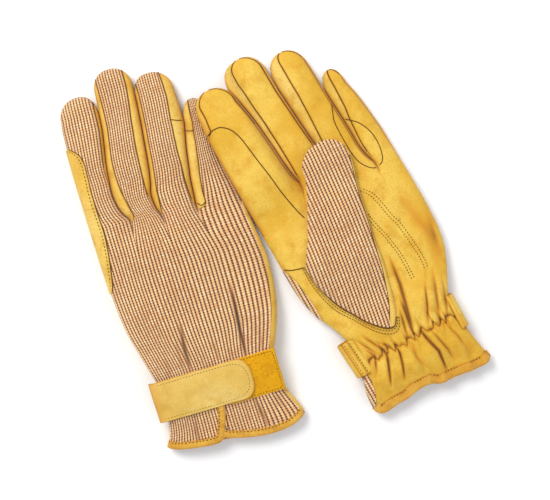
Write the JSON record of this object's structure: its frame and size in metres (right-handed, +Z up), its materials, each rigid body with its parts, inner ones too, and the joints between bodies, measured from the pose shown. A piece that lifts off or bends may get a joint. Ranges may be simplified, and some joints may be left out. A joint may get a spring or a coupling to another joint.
{
  "type": "work gloves",
  "caption": "Pair of work gloves with ribbed knit backs, golden leather palms, finger sides, edging and a hook-and-loop wrist strap, one back up and one palm up.",
  "frame": {"origin": "middle of the pair's footprint, on the surface the gloves lie on", "axes": "+Z up from the surface; +Y towards the fingers; +X from the right-hand glove towards the left-hand glove"},
  "size_m": [0.2306, 0.2918, 0.0282],
  "materials": {
    "rib_knit": "ribbed knit, two-tone",
    "grain_leather": "soft grain, low sheen",
    "strap_leather": "soft suede",
    "binding_leather": "smooth folded edge",
    "loop_pile": "brushed loop pile",
    "hook_tape": "moulded hooks",
    "elastic": "covered elastic tape"
  },
  "bodies": {
    "right_hand": {"right_back_panel": "rib_knit", "right_palm_panel": "grain_leather", "right_fourchettes": "grain_leather", "right_index_side_panel": "grain_leather", "right_palm_patch": "grain_leather", "right_cuff_back": "rib_knit", "right_cuff_palm": "grain_leather", "right_hem_binding": "binding_leather", "right_wrist_elastic": "elastic", "right_loop_patch": "loop_pile", "right_strap_anchor": "strap_leather"},
    "right_strap": {"right_strap": "strap_leather", "right_hook_patch": "hook_tape"},
    "right_index": {"right_index_back": "rib_knit", "right_index_front": "grain_leather", "right_index_sides": "grain_leather"},
    "right_middle": {"right_middle_back": "rib_knit", "right_middle_front": "grain_leather", "right_middle_sides": "grain_leather"},
    "right_ring": {"right_ring_back": "rib_knit", "right_ring_front": "grain_leather", "right_ring_sides": "grain_leather"},
    "right_little": {"right_little_back": "rib_knit", "right_little_front": "grain_leather", "right_little_sides": "grain_leather"},
    "right_thumb": {"right_thumb_back": "rib_knit", "right_thumb_front": "grain_leather", "right_thumb_strip": "grain_leather", "right_thumb_base": "grain_leather"},
    "left_hand": {"left_back_panel": "rib_knit", "left_palm_panel": "grain_leather", "left_fourchettes": "grain_leather", "left_index_side_panel": "grain_leather", "left_palm_patch": "grain_leather", "left_cuff_back": "rib_knit", "left_cuff_palm": "grain_leather", "left_hem_binding": "binding_leather", "left_wrist_elastic": "elastic", "left_loop_patch": "loop_pile", "left_strap_anchor": "strap_leather", "left_thumb_base": "grain_leather"},
    "left_strap": {"left_strap": "strap_leather", "left_hook_patch": "hook_tape"},
    "left_index": {"left_index_back": "rib_knit", "left_index_front": "grain_leather", "left_index_sides": "grain_leather"},
    "left_middle": {"left_middle_back": "rib_knit", "left_middle_front": "grain_leather", "left_middle_sides": "grain_leather"},
    "left_ring": {"left_ring_back": "rib_knit", "left_ring_front": "grain_leather", "left_ring_sides": "grain_leather"},
    "left_little": {"left_little_back": "rib_knit", "left_little_front": "grain_leather", "left_little_sides": "grain_leather"},
    "left_thumb": {"left_thumb_back": "rib_knit", "left_thumb_front": "grain_leather", "left_thumb_strip": "grain_leather"}
  },
  "joints": [
    {"name": "left_glove_lift", "type": "slide", "parent": "right_hand", "child": "left_hand", "axis": [0, 0, 1], "range_m": [0, 0.2]},
    {"name": "right_index_bend", "type": "hinge", "parent": "right_hand", "child": "right_index", "pos_m": [-0.08825, 0.07881, 0.02035], "axis": [0.9931, -0.1175, 0], "range_deg": [0, 45]},
    {"name": "right_middle_bend", "type": "hinge", "parent": "right_hand", "child": "right_middle", "pos_m": [-0.06302, 0.07583, 0.02035], "axis": [0.9931, -0.1175, 0], "range_deg": [0, 45]},
    {"name": "right_ring_bend", "type": "hinge", "parent": "right_hand", "child": "right_ring", "pos_m": [-0.03541, 0.07256, 0.01835], "axis": [0.9931, -0.1175, 0], "range_deg": [0, 45]},
    {"name": "right_little_bend", "type": "hinge", "parent": "right_hand", "child": "right_little", "pos_m": [-0.01247, 0.06985, 0.01085], "axis": [0.9931, -0.1175, 0], "range_deg": [0, 45]},
    {"name": "right_thumb_swing", "type": "hinge", "parent": "right_hand", "child": "right_thumb", "pos_m": [-0.07229, -0.05096, 0.00395], "axis": [0, 0, 1], "range_deg": [0, 40]},
    {"name": "right_strap_peel", "type": "hinge", "parent": "right_hand", "child": "right_strap", "pos_m": [-0.1086, -0.07587, 0.01234], "axis": [-0.1175, -0.9931, 0], "range_deg": [0, 150]},
    {"name": "left_index_bend", "type": "hinge", "parent": "left_hand", "child": "left_index", "pos_m": [0.0168, 0.04136, 0.02035], "axis": [0.9931, 0.1175, 0], "range_deg": [0, 75]},
    {"name": "left_middle_bend", "type": "hinge", "parent": "left_hand", "child": "left_middle", "pos_m": [0.04828, 0.04508, 0.01235], "axis": [0.9931, 0.1175, 0], "range_deg": [0, 75]},
    {"name": "left_ring_bend", "type": "hinge", "parent": "left_hand", "child": "left_ring", "pos_m": [0.07212, 0.0479, 0.01235], "axis": [0.9931, 0.1175, 0], "range_deg": [0, 75]},
    {"name": "left_little_bend", "type": "hinge", "parent": "left_hand", "child": "left_little", "pos_m": [0.09377, 0.05047, 0.01035], "axis": [0.9931, 0.1175, 0], "range_deg": [0, 75]},
    {"name": "left_thumb_lift", "type": "hinge", "parent": "left_hand", "child": "left_thumb", "pos_m": [0.04783, -0.05063, 0.02405], "axis": [0.9931, 0.1175, 0], "range_deg": [0, 70]},
    {"name": "left_strap_peel", "type": "hinge", "parent": "left_hand", "child": "left_strap", "pos_m": [0.02587, -0.10559, 0.01168], "axis": [-0.1175, 0.9931, 0], "range_deg": [0, 150]}
  ],
  "couplings": [
    {"joint": "left_index_bend", "follows": "right_little_bend", "ratio": 1.666}
  ]
}
